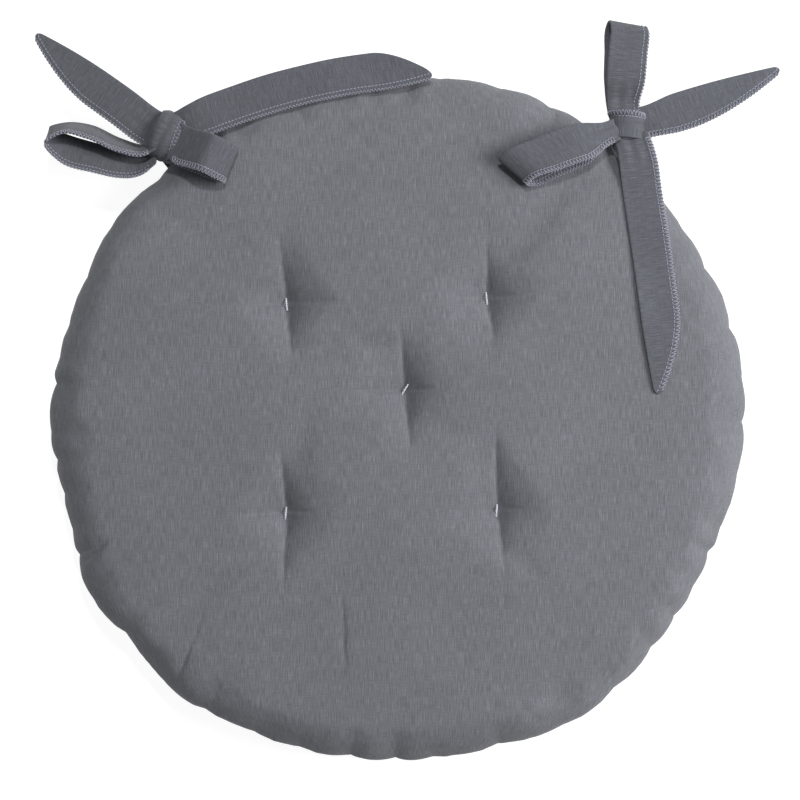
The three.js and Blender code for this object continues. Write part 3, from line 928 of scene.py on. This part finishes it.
class Path:
    """A smooth path through given points, with the strap's across direction at each."""

    def __init__(self, points, acrosses):
        points = np.array([list(point) for point in points])
        acrosses = np.array([list(across) for across in acrosses])
        knots = np.concatenate([[0], np.cumsum(np.linalg.norm(np.diff(points, axis=0), axis=1))])
        fine = np.linspace(0, knots[-1], PATH_SAMPLES)
        self.middle = self.through(knots, points, fine)
        across = self.through(knots, acrosses, fine)
        steps = np.linalg.norm(np.diff(self.middle, axis=0), axis=1)
        self.u = np.concatenate([[0], np.cumsum(steps)])
        tangent = np.gradient(self.middle, axis=0)
        normal = np.cross(tangent, across)
        self.normal = normal / np.linalg.norm(normal, axis=1, keepdims=True)
        self.across = across / np.linalg.norm(across, axis=1, keepdims=True)
        self.length = self.u[-1]

    @staticmethod
    def through(knots, values, fine):
        """A cubic through each value, with slopes taken from its two neighbours."""
        slopes = np.gradient(values, knots, axis=0)
        index = np.clip(np.searchsorted(knots, fine, side="right") - 1, 0, len(knots) - 2)
        step = (knots[index + 1] - knots[index])[:, None]
        share = (fine - knots[index])[:, None] / step
        return (
            (2 * share**3 - 3 * share**2 + 1) * values[index]
            + (share**3 - 2 * share**2 + share) * (slopes[index] * step)
            + (3 * share**2 - 2 * share**3) * values[index + 1]
            + (share**3 - share**2) * (slopes[index + 1] * step)
        )

    def lay(self, u, v, w):
        """Points that are flat at (u, v) and w out of the cloth, laid on the path."""
        laid = np.zeros((len(u), 3))
        for axis in range(3):
            laid[:, axis] = np.interp(u, self.u, self.middle[:, axis])
            laid[:, axis] += v * np.interp(u, self.u, self.across[:, axis])
            laid[:, axis] += w * np.interp(u, self.u, self.normal[:, axis])
        return laid


# %% [markdown]
# ## The strip and its overlock
# The strip starts as a grid primitive. Its points are spread between the fold and the open edge, which
# come closer at a tail's point and where the strap is gathered into its knot. Small waves keep it
# from looking like card. Solidify gives it its thickness, and one subdivision rounds its edges. The
# overlock is a zigzag of thread on each face that wraps the open edge, with a straight row of needle
# stitches along its inner side. On some faces only the needle's stitches show.

# %% Write the strap helpers
STRAP_WIDTH = 22.8 * MM
STRAP_THICKNESS = 1.3 * MM
GRID_STEP = 1.9 * MM
OVERLOCK_WIDTH = 3.1 * MM
OVERLOCK_PITCH = 2.1 * MM
THREAD_RADIUS = 0.23 * MM
ZIGZAG = (
    # one stitch: share of its pitch, share of the overlock's width in from the edge, height on the face
    (0, 1, 1),
    (0.1, 0.2, 1),
    (0.22, -0.04, 0.3),
    (0.55, -0.04, 0.3),
    (0.68, 0.2, 1),
)
PLAIN_REACH = 0.3  # how much of the zigzag's width shows on a plain face
NEEDLE_STITCH = ((0.1, 0.5), (0.5, 1.15), (0.9, 0.5))  # share of the pitch and height on the face


def crumple(u, v, seed, size):
    """Soft waves over a strap, from seeded noise."""
    places = ((x * 42 + seed, y * 60, seed * 1.7) for x, y in zip(u, v))
    return np.array([size * noise.noise(place) for place in places])


def make_strip(name, path, edges, waves):
    """The cloth of a strap. edges(u) gives the fold and the open edge; waves(u, v) the height."""
    along = max(8, round(path.length / GRID_STEP))
    across = round(STRAP_WIDTH / GRID_STEP)
    bpy.ops.object.select_all(action="DESELECT")
    bpy.ops.mesh.primitive_grid_add(x_subdivisions=along, y_subdivisions=across, size=1)
    strip = name_new_piece(name, strap_cloth)
    grid = get_points(strip)
    u = (grid[:, 0] + 0.5) * path.length
    fold, edge = edges(u)
    v = fold + (grid[:, 1] + 0.5) * (edge - fold)
    write_flat_pattern(strip, np.column_stack([u, v]))
    set_points(strip, path.lay(u, v, waves(u, v)))
    apply_modifier(strip, "SOLIDIFY", thickness=STRAP_THICKNESS, offset=0, use_even_offset=True)
    apply_modifier(strip, "SUBSURF", levels=1, render_levels=1)
    face_outwards_and_smooth(strip)
    return strip


def make_overlock(name, path, edges, waves, start, end, plain_faces=()):
    """The thread along a strap's open edge, between two places along it.

    On a plain face (1 or -1) the zigzag only wraps the edge, and the needle's stitches stand alone.
    """
    half = STRAP_THICKNESS / 2 + 0.55 * THREAD_RADIUS
    count = round((end - start) / OVERLOCK_PITCH)
    pitch = (end - start) / count
    starts = [start + number * pitch for number in range(count)]
    runs = []
    for side in (1, -1):
        reach = PLAIN_REACH if side in plain_faces else 1
        rows = []
        for first in starts:
            for share, inward, level in ZIGZAG:
                inset = min(inward, reach) * OVERLOCK_WIDTH
                rows.append((first + share * pitch, -inset, side * level * half))
        runs.append(rows)
        for first in starts:
            runs.append(
                [
                    (first + share * pitch, -OVERLOCK_WIDTH, side * half * level)
                    for share, level in NEEDLE_STITCH
                ]
            )
    laid = []
    for rows in runs:
        u, v, w = np.array(rows).T
        v = v + edges(u)[1]
        laid.append(path.lay(u, v, waves(u, v) + w))
    return make_thread(name, laid, THREAD_RADIUS, overlock_thread, 0)


# %% [markdown]
# ## Where each strap goes
# The bows were tied by hand, so all eight free stretches differ. Each hinge in the CAD model marks
# where a stretch leaves its knot and which way it points. Two tables add what the hinge can't say.
# The first is for the tails: how long each is, how it curves and where its tip lies. Lengths are in
# millimetres.

# %% List the tails
TAILS = {
    # taper: how far from its end a tail starts to narrow
    # bow and droop: how far its line curves aside in the middle and hangs down at the end
    # edge_side: 1 if the open edge is on the left, looking out from the knot
    # point: where the tip lies, from -1 at the fold to 1 at the open edge
    # root: the width in the knot; turn: degrees between the strap's line and its hinge's
    # pleat and ripple: the height of the folds along and across the strap near its knot
    # plain: the faces without a zigzag
    "left_outer_tail": dict(
        length=86, taper=50, bow=-1, edge_side=1, point=-0.75, droop=4, root=22.8, turn=1,
        pleat=0.3, ripple=0, plain=(1,),
    ),
    "left_inner_tail": dict(
        length=144, taper=32, bow=7, edge_side=-1, point=0.5, droop=0, root=21, turn=0,
        pleat=0.3, ripple=0, plain=(-1,),
    ),
    "right_outer_tail": dict(
        length=80, taper=60, bow=0, edge_side=-1, point=-0.65, droop=3, root=19, turn=2,
        pleat=0.4, ripple=0, plain=(),
    ),
    "right_inner_tail": dict(
        length=144, taper=46, bow=1, edge_side=1, point=-0.7, droop=0, root=21, turn=0,
        pleat=0.5, ripple=0.35, plain=(),
    ),
}
print("tails listed:", len(TAILS))

# %% [markdown]
# A loop is drawn from its side, as a few points from the knot, round the turn and back. Each point says
# how far out it is and how high, both as shares of the loop's length and height. The standing loop is
# drawn the same way, lying on its side. The second table gives each loop its size and says how it
# lies.

# %% List the loops
LYING_LOOP = (
    (0, 0.36), (0.25, 0.86), (0.62, 1), (0.93, 0.78), (1, 0.42),
    (0.93, 0.1), (0.62, 0), (0.25, 0), (0, 0),
)
RIDGED_LOOP = (
    (0, 0.4), (0.28, 0.84), (0.52, 1.14), (0.76, 0.86), (0.96, 0.5),
    (1, 0.24), (0.9, 0.04), (0.62, 0), (0.3, 0), (0, 0),
)
STANDING_LOOP = (
    (0, 0.1), (0.24, -0.02), (0.56, -0.4), (0.84, -0.5), (1, -0.18),
    (0.87, 0.26), (0.5, 0.5), (0.25, 0.58), (0, 0.46),
)
LOOPS = {
    # lean and lean_end: degrees that the first and the second layer are tipped up from lying flat
    # skew: how far the turn slants back; shift: how far the second layer lies to the open edge's side
    # tuck: how far the fold is drawn in at the turn; the rest is as for the tails
    "left_outer_loop": dict(
        length=56, height=22, outline=STANDING_LOOP, lean=62, lean_end=32, edge_side=1, skew=0,
        root=20, shift=-5, turn=-6, pleat=0.3, tuck=4, plain=(1, -1),
    ),
    "left_inner_loop": dict(
        length=29, height=13, outline=RIDGED_LOOP, lean=0, lean_end=0, edge_side=-1, skew=0,
        root=22.8, shift=0, turn=0, pleat=0, tuck=0, plain=(),
    ),
    "right_outer_loop": dict(
        length=47, height=11, outline=LYING_LOOP, lean=0, lean_end=0, edge_side=-1, skew=0.1,
        root=19, shift=-2.5, turn=0, pleat=0.4, tuck=0, plain=(-1,),
    ),
    "right_inner_loop": dict(
        length=57, height=11, outline=LYING_LOOP, lean=0, lean_end=0, edge_side=1, skew=0.5,
        root=13, shift=3.2, turn=0, pleat=0.8, tuck=0, plain=(),
    ),
}
print("loops listed:", len(LOOPS))

# %% [markdown]
# ## What tails and loops share
# A strap starts just outside its hinge and points square to the hinge's axis. Near its knot it is
# narrow and pleated. When it is done, the CAD pieces that it stands in for are hidden.

# %% Write what tails and loops share
joints = {joint["name"]: joint for joint in frame["joints"]}
UP = Vector((0, 0, 1))
ROOT_GAP = 3 * MM  # from a hinge to where its stretch of strap starts
PLEAT_WIDTH = 7.5 * MM
OVERLOCK_MARGIN = 5 * MM  # the overlock starts this far from where a strap's path does
AREA_PLACES = 60


def joint_of(strap):
    """The hinge that a strap swings on."""
    return joints[strap + ("_swing" if "outer" in strap else "_lift")]


def knot_centre(side):
    """The middle of a knot's box in the CAD model."""
    low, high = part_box(side + "_knot")
    return (low + high) / 2


def strap_frame(strap, turn):
    """Where a strap starts, the way it points and its left, from its hinge and a turn in degrees."""
    joint = joint_of(strap)
    axis = Vector(joint["axis"]).normalized()
    across = Vector((-axis.y, axis.x, 0))
    angle = math.atan2(across.y, across.x) + math.radians(turn)
    direction = Vector((math.cos(angle), math.sin(angle), 0))
    return Vector(joint["pos_m"]), direction, UP.cross(direction)


def gathered_width(u, root_width):
    """A strap's half width: narrow in its knot, full a little way out."""
    return 0.5 * (root_width + (STRAP_WIDTH - root_width) * smooth_step(u, 6 * MM, 26 * MM))


def pleats(u, v, depth, seed):
    """Lengthwise folds where the strap squeezes into the knot, fading outwards."""
    fade = 1 - smooth_step(u, 8 * MM, 30 * MM)
    return fade * depth * MM * np.sin(2 * math.pi * v / PLEAT_WIDTH + seed)


def finish_strap(strap, path, edges, waves, end, plain_faces):
    """Make a strap and its thread, and hide the CAD pieces that they stand in for."""
    strip = make_strip(strap + "_strap", path, edges, waves)
    thread = make_overlock(
        strap + "_overlock_thread", path, edges, waves, OVERLOCK_MARGIN, end, plain_faces
    )
    overlock = strap + "_overlock"
    for piece, slot, node in ((strip, "tie_cloth", strap), (thread, "overlock_thread", overlock)):
        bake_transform(piece)
        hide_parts(node)
    fold, edge = edges(np.linspace(0, path.length, AREA_PLACES))
    print(strap, "is", round(path.length / MM), "mm long")


# %% [markdown]
# ## The tails
# A tail leaves its knot gathered and narrow, widens within a few centimetres and runs out flat to a
# slanted point. One edge stays nearly straight, and the other curves in to meet it.


# %% Lay the tails
SETTLE_ON_PAD = 0.5 * MM  # a tail that lies on the pad sinks this far below its hinge's height
TAPER_CURVE = 1.7  # above 1, a tail's edges curve in towards its tip
TIP_WIDTH = 4.2 * MM
CRUMPLE_HEIGHT = 0.9 * MM
RIPPLE_LENGTH = 6.8 * MM


def make_tail(strap, facts, seed):
    """A tail on its own path, from inside its knot to its point."""
    side = strap.split("_")[0]
    hinge, direction, left = strap_frame(strap, facts["turn"])
    length = facts["length"] * MM
    root = hinge + direction * ROOT_GAP
    inside = knot_centre(side).lerp(hinge, 0.45)
    points = [inside]
    for share in (0.0, 0.2, 0.4, 0.6, 0.8, 1.0):
        point = root + direction * share * length
        point += left * 4 * facts["bow"] * MM * share * (1 - share)
        point.z -= facts["droop"] * MM * share**2
        points.append(point)
    across = left * facts["edge_side"]
    path = Path(points, [across] * len(points))
    taper = facts["taper"] * MM

    def edges(u):
        half = gathered_width(u, facts["root"] * MM)
        into = np.clip((u - (path.length - taper)) / taper, 0, 1) ** TAPER_CURVE
        cut = (2 * half - TIP_WIDTH) * into
        fold = -half + 0.5 * cut * (1 + facts["point"])
        edge = half - 0.5 * cut * (1 - facts["point"])
        rounding = np.sqrt(np.clip((path.length - u) / (0.5 * TIP_WIDTH), 0.1, 1))
        middle, reach = (fold + edge) / 2, (edge - fold) / 2 * rounding
        return middle - reach, middle + reach

    def waves(u, v):
        free = smooth_step(u, 10 * MM, 40 * MM)
        settle = SETTLE_ON_PAD if "inner" in strap else 0
        down = -facts["edge_side"] * settle  # the path's normal points up where edge_side is 1
        ripple = facts["ripple"] * MM * np.sin(2 * math.pi * (u + 0.2 * v) / RIPPLE_LENGTH)
        ripple *= smooth_step(u, 16 * MM, 24 * MM) * (1 - smooth_step(u, 28 * MM, 52 * MM))
        folds = pleats(u, v, facts["pleat"], seed) + ripple
        return folds + free * (crumple(u, v, seed, CRUMPLE_HEIGHT) + down)

    end = path.length - 1 * MM
    finish_strap(strap, path, edges, waves, end, facts["plain"])


for number, (strap, facts) in enumerate(TAILS.items()):
    make_tail(strap, facts, 3.1 + 5.3 * number)

# %% [markdown]
# ## The loops
# A loop goes out from its knot, turns over and comes back. Three of them lie down, with one layer over
# the other. The fourth stands on its edge, so the gap through it shows from above.


# %% Lay the loops
TUCK_REACH = 9 * MM  # how far along a strap its fold is drawn in where the loop turns over
LOOP_DROP = 2.1 * MM  # a lying loop starts this far below its hinge
NECK_SHARE = 0.6  # inside the knot a loop's layers are closer together by this much


def make_loop(strap, facts, seed):
    """A loop on its own path, out from its knot and back into it."""
    side = strap.split("_")[0]
    hinge, direction, left = strap_frame(strap, facts["turn"])
    length, height = facts["length"] * MM, facts["height"] * MM
    open_side = left * facts["edge_side"]
    standing = facts["outline"] is STANDING_LOOP
    rise = left * math.sin(math.radians(facts["lean"])) if standing else UP
    root = hinge + direction * ROOT_GAP
    if not standing:
        root.z -= LOOP_DROP
    count = len(facts["outline"]) - 1
    points, acrosses = [], []
    for number, (along, up) in enumerate(facts["outline"]):
        second = float(smooth_step(number / count, 0.35, 0.65))  # 0 in the first layer, 1 in the second
        lean = math.radians(facts["lean"] + (facts["lean_end"] - facts["lean"]) * second)
        edge_way = open_side * math.cos(lean) + UP * math.sin(lean)
        point = root + direction * along * length + rise * up * height
        points.append(point + open_side * facts["shift"] * MM * second * along)
        acrosses.append(edge_way - direction * facts["skew"] * along)
    inside = knot_centre(side).lerp(hinge, 0.5)
    first = inside + rise * facts["outline"][0][1] * height * NECK_SHARE
    last = inside + rise * facts["outline"][-1][1] * height * NECK_SHARE
    points = [first, *points, last]
    acrosses = [acrosses[0], *acrosses, acrosses[-1]]
    path = Path(points, acrosses)
    reach = (path.middle - np.array(root)) @ np.array(direction)
    turn_u = path.u[np.argmax(reach)]

    def from_knot(u):
        return np.minimum(u, path.length - u)

    def edges(u):
        half = gathered_width(from_knot(u), facts["root"] * MM)
        drawn_in = facts["tuck"] * MM * np.exp(-(((u - turn_u) / TUCK_REACH) ** 2))
        return -half + drawn_in, half

    def waves(u, v):
        near = from_knot(u)
        free = smooth_step(near, 6 * MM, 24 * MM)
        return pleats(near, v, facts["pleat"], seed) + free * crumple(u, v, seed, CRUMPLE_HEIGHT)

    end = path.length - OVERLOCK_MARGIN
    finish_strap(strap, path, edges, waves, end, facts["plain"])


for number, (strap, facts) in enumerate(LOOPS.items()):
    make_loop(strap, facts, 1.7 + 4.1 * number)

# %% [markdown]
# ## The knots
# The knot is the strap's own turn round the bundle. It is a ring of the same strip, bulged in the
# middle and creased lengthwise, with its overlocked edge on one side. A filled core inside it stands
# for the bundle of straps that it binds. It starts as a ball and is squared off towards its ends.

# %% Wrap the knots
KNOT_BARRELS = {"left": 160, "right": 86}  # the way each bundle runs, in degrees from +X
KNOT_EDGE_SIDES = {"left": -1, "right": 1}  # which side of the wrap its open edge is on
RING_POINTS = 28
WRAP_BULGE = 1.2 * MM
WRAP_FOLD_DEPTH = 0.35 * MM
WRAP_FOLD_WIDTH = 6.2 * MM
CORE_SQUARENESS = 0.45  # 1 makes the core an egg and less makes it a plug with flat ends


def make_wrap(side, seed):
    """The ring of strap round a knot. Returns its middle, its three axes and its half sizes on them."""
    low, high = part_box(side + "_knot")
    middle = (low + high) / 2
    angle = math.radians(KNOT_BARRELS[side])
    barrel = Vector((math.cos(angle), math.sin(angle), 0))
    cross = UP.cross(barrel)
    from_middle = get_points(frame["nodes"][side + "_knot"]) - np.array(middle)
    half_across = float(np.abs(from_middle @ np.array(cross)).max()) - WRAP_BULGE
    half_height = (high.z - low.z) / 2 - 0.5 * WRAP_BULGE
    half_length = float(np.abs(from_middle @ np.array(barrel)).max())
    points = []
    for number in range(RING_POINTS + 1):
        turn = 2 * math.pi * number / RING_POINTS - math.pi / 2
        level = UP * half_height * math.sin(turn)
        points.append(middle + cross * half_across * math.cos(turn) + level)
    across = barrel * KNOT_EDGE_SIDES[side]
    path = Path(points, [across] * len(points))

    def edges(u):
        half = np.full(len(u), half_length - 0.7 * MM)
        return -half, half

    def waves(u, v):
        bulge = WRAP_BULGE * (1 - (v / half_length) ** 2)
        wander = 1.2 * np.sin(2 * math.pi * u / path.length)
        folds = WRAP_FOLD_DEPTH * np.sin(2 * math.pi * v / WRAP_FOLD_WIDTH + seed + wander)
        return -(bulge + folds)

    wrap = make_strip(side + "_knot_wrap", path, edges, waves)
    end = path.length - 1 * MM
    thread = make_overlock(side + "_knot_overlock", path, edges, waves, 1 * MM, end)
    for piece, slot in ((wrap, "tie_cloth"), (thread, "overlock_thread")):
        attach(piece, side + "_bow")
    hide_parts(side + "_knot")
    return middle, (cross, barrel, UP), (half_across, half_length, half_height)


def fill_knot(side, seed, middle, axes, half_sizes):
    """The lumpy plug inside a wrap, a little thinner than the wrap and a little longer."""
    bpy.ops.object.select_all(action="DESELECT")
    bpy.ops.mesh.primitive_uv_sphere_add(segments=24, ring_count=14, radius=1, location=(0, 0, 0))
    core = name_new_piece(side + "_knot_core", strap_cloth)
    ball = get_points(core)
    round_the_barrel = np.maximum(np.hypot(ball[:, 0], ball[:, 2]), 1e-6)
    ball[:, 0] *= round_the_barrel ** (CORE_SQUARENESS - 1)
    ball[:, 2] *= round_the_barrel ** (CORE_SQUARENESS - 1)
    ball[:, 1] = np.sign(ball[:, 1]) * np.abs(ball[:, 1]) ** CORE_SQUARENESS
    lumps = 1 + 0.04 * np.sin(5 * np.arctan2(ball[:, 2], ball[:, 0]) + seed)
    sizes = np.array(half_sizes) + np.array((-1.3, 1.2, -1.2)) * MM
    ball = ball * sizes * lumps[:, None]
    set_points(core, ball @ np.array([list(axis) for axis in axes]) + np.array(middle))
    write_flat_pattern(core, ball[:, :2])
    face_outwards_and_smooth(core)
    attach(core, side + "_bow")


for side, seed in (("left", 0.4), ("right", 2.0)):
    middle, axes, half_sizes = make_wrap(side, seed)
    fill_knot(side, seed, middle, axes, half_sizes)
    print(side, "knot is", round(2 * half_sizes[1] / MM, 1), "mm long")

# %% [markdown]
# ## The tie roots
# Each tie comes out of the rim seam, turns up behind the pad's edge and passes under its knot. The CAD
# model has this in two rigid pieces with a fold between them. Here it is one strap that turns up from
# the pad to the bow.


# %% Lay the tie roots
def make_tie_root(side, seed):
    """The strap from inside the rim seam to just past the middle of its knot."""
    joint = joints[side + "_bow_drop"]
    fold = Vector(joint["pos_m"])
    out = Vector((fold.x, fold.y, 0)).normalized()
    stalk_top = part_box(side + "_stalk")[1].z
    middle = knot_centre(side)
    past = Vector((middle.x, middle.y, 0)).length + 5 * MM
    points = [
        fold - out * 12 * MM,
        fold - out * 3 * MM,
        fold + out * 1.5 * MM,
        fold + out * 6 * MM + UP * 1.0 * MM,
        out * past + UP * (stalk_top - 1.6 * MM),
    ]
    path = Path(points, [UP.cross(out)] * len(points))

    def edges(u):
        half = 0.5 * STRAP_WIDTH - 2.5 * MM * smooth_step(u, 14 * MM, path.length)
        return -half, half

    def waves(u, v):
        return crumple(u, v, seed, 0.4 * MM)

    strip = make_strip(side + "_tie_root", path, edges, waves)
    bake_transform(strip)
    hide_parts(side + "_tie_sewn_end", side + "_stalk")
    print(side, "tie root is", round(path.length / MM), "mm long")


make_tie_root("left", 6.0)
make_tie_root("right", 8.0)
